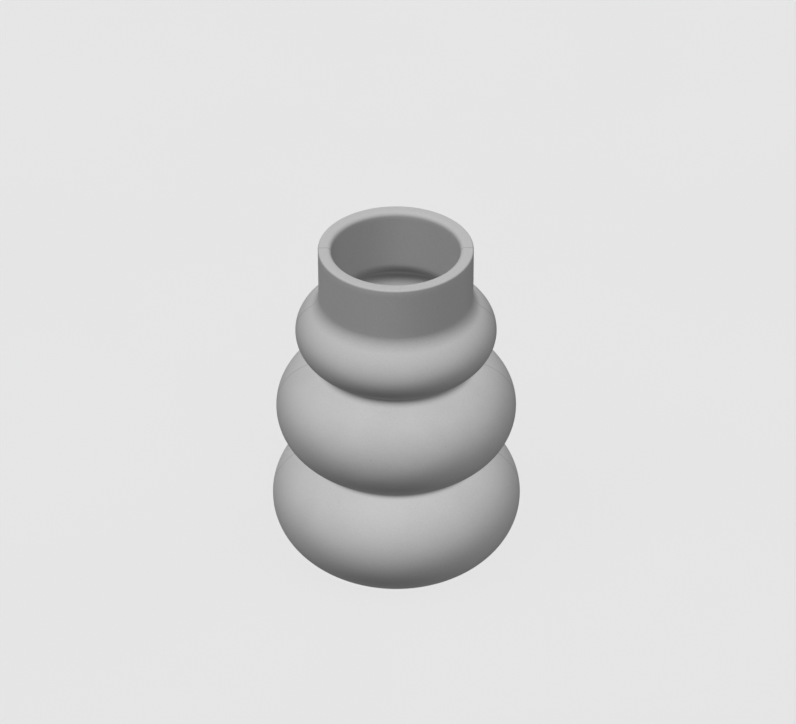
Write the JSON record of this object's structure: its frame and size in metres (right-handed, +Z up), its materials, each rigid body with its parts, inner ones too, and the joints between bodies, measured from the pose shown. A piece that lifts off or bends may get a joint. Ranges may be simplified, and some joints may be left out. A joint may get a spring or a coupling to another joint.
{
  "type": "plaster slip-casting mould",
  "caption": "Three-lobed plaster slip-casting mould with a straight round neck, parted into halves on natches round a flanged foot plug.",
  "frame": {"origin": "middle of the flat underside, on the axis of the mould", "axes": "+Z up along the axis through the mouth; the mould parts on the plane y = 0, with the front half on -Y"},
  "size_m": [0.2786, 0.2786, 0.3883],
  "materials": {
    "plaster": "matte",
    "natch_plastic": "satin"
  },
  "bodies": {
    "foot": {"foot_plug": "plaster"},
    "front": {"front_half": "plaster", "natch_pin_1": "natch_plastic", "natch_pin_2": "natch_plastic", "natch_pin_3": "natch_plastic", "natch_pin_4": "natch_plastic", "natch_pin_5": "natch_plastic", "natch_pin_6": "natch_plastic"},
    "back": {"back_half": "plaster", "natch_socket_1": "natch_plastic", "natch_socket_2": "natch_plastic", "natch_socket_3": "natch_plastic", "natch_socket_4": "natch_plastic", "natch_socket_5": "natch_plastic", "natch_socket_6": "natch_plastic"}
  },
  "joints": [
    {"name": "front_pull", "type": "slide", "parent": "foot", "child": "front", "axis": [0, -1, 0], "range_m": [0, 0.16]},
    {"name": "back_pull", "type": "slide", "parent": "foot", "child": "back", "axis": [0, 1, 0], "range_m": [0, 0.16]}
  ]
}
